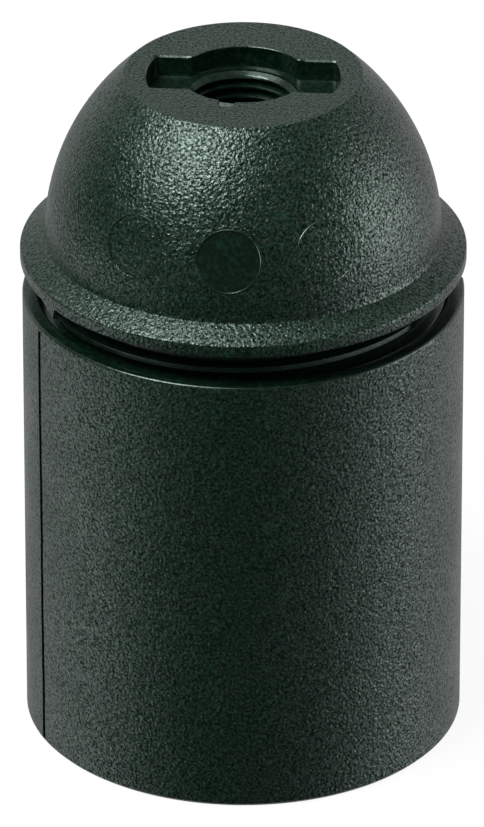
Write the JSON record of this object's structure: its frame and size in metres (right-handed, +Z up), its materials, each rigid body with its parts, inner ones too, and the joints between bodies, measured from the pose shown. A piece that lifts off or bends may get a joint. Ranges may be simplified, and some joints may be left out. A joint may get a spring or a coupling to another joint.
{
  "type": "lamp holder",
  "caption": "Black moulded screw-shell lamp holder with a domed cap, M10 x 1 entry, plain round skirt, sprung contacts and screw terminals.",
  "frame": {"origin": "centre of the barrel's mouth, on the face that the holder stands on", "axes": "+Z up the holder's axis, from the mouth to the cap's entry; the front faces -Y"},
  "size_m": [0.0404, 0.0404, 0.0643],
  "materials": {
    "barrel_moulding": "black glass-filled polyester, moulded in a spark-eroded tool, fine satin grain",
    "cap_moulding": "black glass-filled polyester, moulded in a spark-eroded tool, fine satin grain",
    "block_moulding": "black glass-filled polyester, smooth from a polished tool",
    "spring_bronze": "rolled phosphor bronze strip, bent",
    "terminal_brass": "stamped brass strip",
    "rivet_brass": "turned and rolled-over brass",
    "plated_steel": "zinc-plated steel"
  },
  "bodies": {
    "barrel": {"barrel": "barrel_moulding"},
    "block": {"terminal_block": "block_moulding", "terminal_plate_left": "terminal_brass", "terminal_plate_right": "terminal_brass", "rivet_left": "rivet_brass", "rivet_right": "rivet_brass"},
    "cap": {"cap": "cap_moulding"},
    "centre_contact": {"centre_contact": "spring_bronze"},
    "side_contact": {"side_contact": "spring_bronze"},
    "clamp_left": {"clamp_plate_left": "plated_steel"},
    "screw_left": {"terminal_screw_left": "plated_steel"},
    "clamp_right": {"clamp_plate_right": "plated_steel"},
    "screw_right": {"terminal_screw_right": "plated_steel"}
  },
  "joints": [
    {"name": "block_lift", "type": "slide", "parent": "barrel", "child": "block", "axis": [0, 0, 1], "range_m": [-0.0031, 0.004]},
    {"name": "cap_turn", "type": "hinge", "parent": "block", "child": "cap", "pos_m": [0, 0, 0.04615], "axis": [0, 0, 1], "range_deg": [-558.1, 720.1]},
    {"name": "centre_contact_flex", "type": "hinge", "parent": "block", "child": "centre_contact", "pos_m": [0.00947, -0.00254, 0.03365], "axis": [0.2588, 0.9659, 0], "range_deg": [0, 5.2], "stiffness_Nm_per_rad": 0.4},
    {"name": "side_contact_flex", "type": "hinge", "parent": "block", "child": "side_contact", "pos_m": [-0.00947, 0.00254, 0.03365], "axis": [0.2588, 0.9659, 0], "range_deg": [0, 3.6], "stiffness_Nm_per_rad": 0.4},
    {"name": "clamp_left_travel", "type": "slide", "parent": "block", "child": "clamp_left", "axis": [0, 0, 1], "range_m": [0, 0.002]},
    {"name": "screw_left_turn", "type": "hinge", "parent": "clamp_left", "child": "screw_left", "pos_m": [-0.00915, -0.00351, 0.0435], "axis": [0, 0, 1], "range_deg": [0, 1440.1]},
    {"name": "clamp_right_travel", "type": "slide", "parent": "block", "child": "clamp_right", "axis": [0, 0, 1], "range_m": [0, 0.002]},
    {"name": "screw_right_turn", "type": "hinge", "parent": "clamp_right", "child": "screw_right", "pos_m": [0.00915, 0.00351, 0.0435], "axis": [0, 0, 1], "range_deg": [0, 1440.1]}
  ],
  "couplings": [
    {"joint": "cap_turn", "follows": "block_lift", "rad_per_m": 3141.6},
    {"joint": "screw_left_turn", "follows": "clamp_left_travel", "rad_per_m": 12566},
    {"joint": "screw_right_turn", "follows": "clamp_right_travel", "rad_per_m": 12566}
  ]
}
